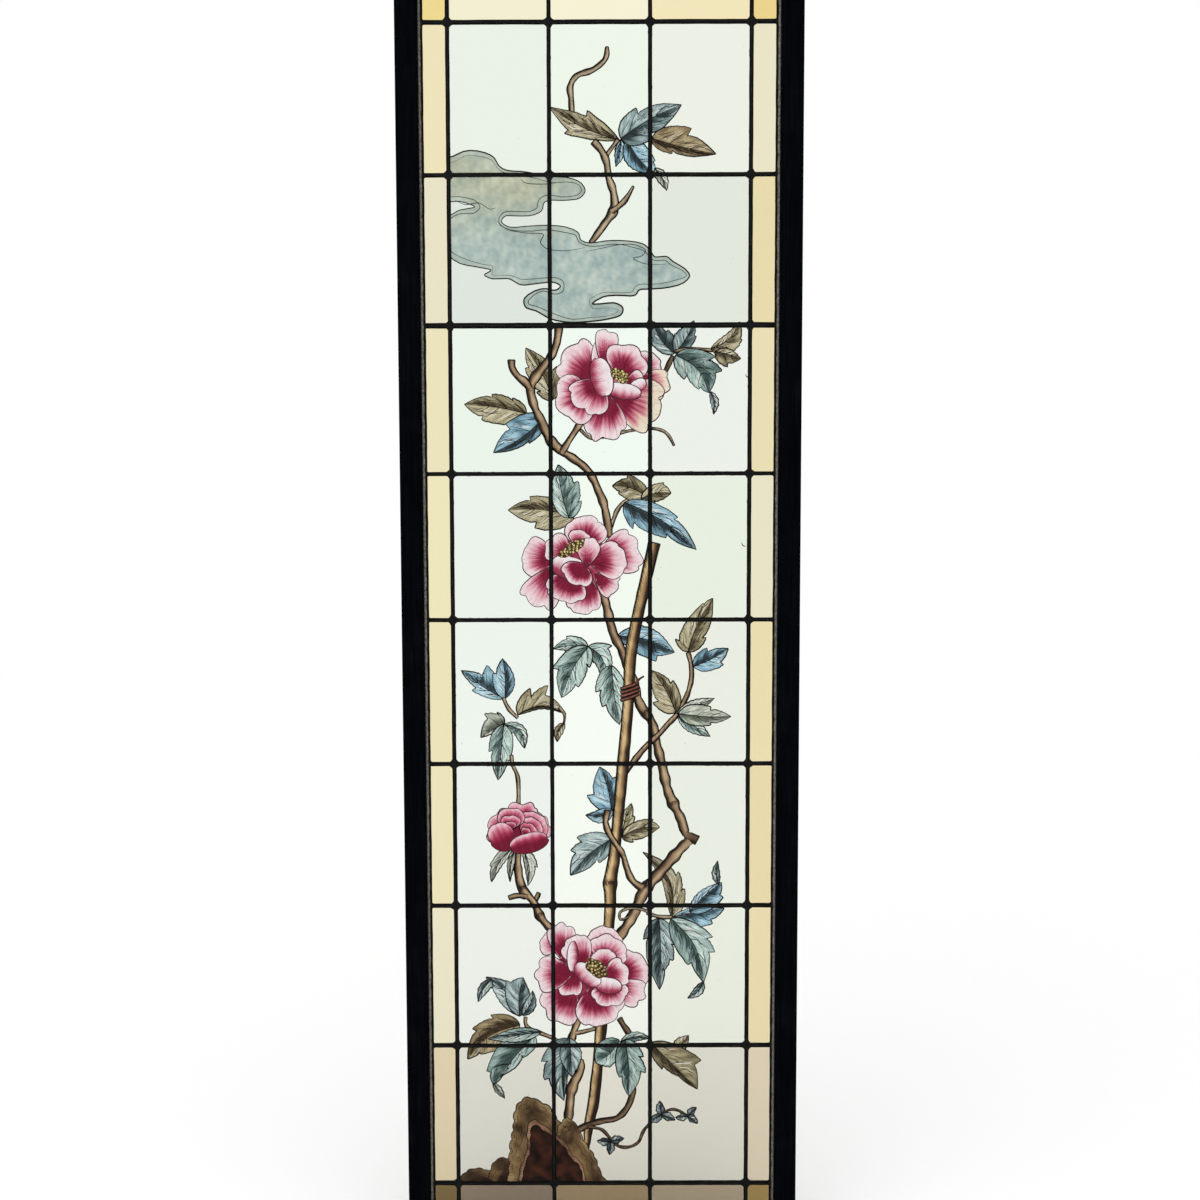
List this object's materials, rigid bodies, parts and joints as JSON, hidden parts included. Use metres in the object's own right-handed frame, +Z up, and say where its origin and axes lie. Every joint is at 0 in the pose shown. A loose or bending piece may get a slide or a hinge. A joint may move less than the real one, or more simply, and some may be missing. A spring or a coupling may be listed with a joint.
{
  "type": "painted leaded glass window",
  "caption": "Tall narrow leaded window panel of painted clear panes with a straw-coloured glass border, in a plain black rebated frame.",
  "frame": {"origin": "middle of the underside of the bottom rail, the face that stands on the sill of the opening", "axes": "+X to the right and +Z up as seen from the front, +Y from the painted front to the beaded back"},
  "size_m": [0.53, 0.036, 1.694],
  "materials": {
    "frame_paint": "matte",
    "lead": "matte",
    "clear_glass": "gloss",
    "straw_glass": "gloss",
    "amber_glass": "gloss"
  },
  "bodies": {
    "root": {"frame_rail_bottom": "frame_paint", "frame_stile_right": "frame_paint", "frame_rail_top": "frame_paint", "frame_stile_left": "frame_paint", "glazing_bead_bottom": "frame_paint", "glazing_bead_right": "frame_paint", "glazing_bead_top": "frame_paint", "glazing_bead_left": "frame_paint", "lead_came_lattice": "lead", "pane_1_left": "clear_glass", "pane_1_centre": "clear_glass", "pane_1_right": "clear_glass", "pane_2_left": "clear_glass", "pane_2_centre": "clear_glass", "pane_2_right": "clear_glass", "pane_3_left": "clear_glass", "pane_3_centre": "clear_glass", "pane_3_right": "clear_glass", "pane_4_left": "clear_glass", "pane_4_centre": "clear_glass", "pane_4_right": "clear_glass", "pane_5_left": "clear_glass", "pane_5_centre": "clear_glass", "pane_5_right": "clear_glass", "pane_6_left": "clear_glass", "pane_6_centre": "clear_glass", "pane_6_right": "clear_glass", "pane_7_left": "clear_glass", "pane_7_centre": "clear_glass", "pane_7_right": "clear_glass", "pane_8_left": "clear_glass", "pane_8_centre": "clear_glass", "pane_8_right": "clear_glass", "left_strip_1": "straw_glass", "left_strip_2": "straw_glass", "left_strip_3": "straw_glass", "left_strip_4": "straw_glass", "left_strip_5": "straw_glass", "left_strip_6": "straw_glass", "left_strip_7": "straw_glass", "left_strip_8": "straw_glass", "right_strip_1": "straw_glass", "right_strip_2": "straw_glass", "right_strip_3": "straw_glass", "right_strip_4": "straw_glass", "right_strip_5": "straw_glass", "right_strip_6": "straw_glass", "right_strip_7": "straw_glass", "right_strip_8": "straw_glass", "top_strip_left": "straw_glass", "top_strip_centre": "straw_glass", "top_strip_right": "straw_glass", "corner_top_left": "amber_glass", "corner_top_right": "amber_glass", "bottom_strip_left": "straw_glass", "bottom_strip_centre": "straw_glass", "bottom_strip_right": "straw_glass", "corner_bottom_left": "amber_glass", "corner_bottom_right": "amber_glass"}
  },
  "joints": []
}
